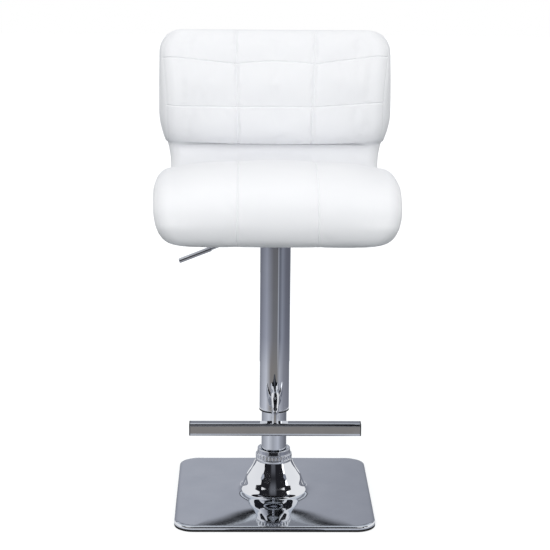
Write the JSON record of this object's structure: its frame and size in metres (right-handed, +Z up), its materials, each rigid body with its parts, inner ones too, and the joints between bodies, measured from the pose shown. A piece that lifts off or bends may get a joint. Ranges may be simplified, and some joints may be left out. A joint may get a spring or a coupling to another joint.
{
  "type": "adjustable swivel stool",
  "caption": "Gas-lift bar stool with a quilted white S-shaped seat and low back, chromed column, T-shaped foot rest, height lever and square bell base.",
  "frame": {"origin": "on the floor under the column's axis, in the middle of the base", "axes": "+Z up along the column, -Y the way the sitter faces, +X to the viewer's right when the stool is seen from the front"},
  "size_m": [0.465, 0.4922, 0.9179],
  "materials": {
    "chromed_steel": "bright chrome plate on steel",
    "white_leatherette": "white coated-fabric leatherette over moulded foam, quilted",
    "black_rubber": "matt black rubber",
    "black_nylon": "moulded black nylon",
    "grey_plastic": "moulded grey plastic",
    "ballast_iron": "black-painted steel plate",
    "zinc_steel": "zinc-plated steel",
    "bearing_steel": "ground steel",
    "brass_cage": "pressed brass",
    "black_paint": "black powder coat on steel",
    "black_cloth": "black non-woven cloth",
    "plywood": "bent birch plywood"
  },
  "bodies": {
    "base": {"base_shell": "chromed_steel", "floor_mat": "black_rubber", "base_weight": "ballast_iron", "pillar_flange": "zinc_steel", "flange_bolts": "zinc_steel", "bell_collar": "chromed_steel", "pillar_tube": "chromed_steel", "guide_bush": "black_nylon", "rod_anchor": "zinc_steel", "lower_race": "bearing_steel"},
    "bearing_cage": {"ball_cage": "brass_cage", "bearing_balls": "bearing_steel"},
    "swivel_rod": {"piston_rod": "bearing_steel", "rod_clip": "zinc_steel", "bump_stop": "black_rubber", "piston": "black_nylon", "upper_race": "bearing_steel"},
    "carriage": {"gas_cylinder": "black_paint", "cylinder_end_guide": "black_nylon", "taper_socket": "black_paint", "sleeve_tube": "chromed_steel", "sleeve_end_ring": "black_nylon", "foot_stem": "chromed_steel", "foot_bar": "chromed_steel", "bar_end_caps": "black_nylon", "seat_plate": "black_paint", "lever_pin": "zinc_steel", "seat_bolts": "zinc_steel", "tee_nuts": "zinc_steel", "dust_cover": "black_cloth", "ply_shell": "plywood", "seat_pad": "white_leatherette", "waist_pad": "white_leatherette", "back_pad": "white_leatherette", "rear_pad": "white_leatherette", "under_pad": "white_leatherette"},
    "lever": {"lever_paddle": "zinc_steel", "lever_rod": "chromed_steel", "lever_grip": "grey_plastic"},
    "valve_button": {"valve_pin": "zinc_steel"}
  },
  "joints": [
    {"name": "swivel", "type": "hinge", "parent": "base", "child": "swivel_rod", "pos_m": [0, 0, 0.04], "axis": [0, 0, 1], "continuous": true},
    {"name": "cage_roll", "type": "hinge", "parent": "base", "child": "bearing_cage", "pos_m": [0, 0, 0.04], "axis": [0, 0, 1], "continuous": true},
    {"name": "lift", "type": "slide", "parent": "swivel_rod", "child": "carriage", "axis": [0, 0, 1], "range_m": [-0.08, 0.135]},
    {"name": "lever_tilt", "type": "hinge", "parent": "carriage", "child": "lever", "pos_m": [-0.04, 0, 0.5471], "axis": [0, 1, 0], "range_deg": [0, 4], "stiffness_Nm_per_rad": 2, "springref_deg": -5.73},
    {"name": "valve_press", "type": "slide", "parent": "carriage", "child": "valve_button", "axis": [0, 0, -1], "range_m": [0, 0.003]}
  ],
  "couplings": [
    {"joint": "cage_roll", "follows": "swivel", "ratio": 0.5},
    {"joint": "valve_press", "follows": "lever_tilt", "m_per_rad": 0.04}
  ]
}
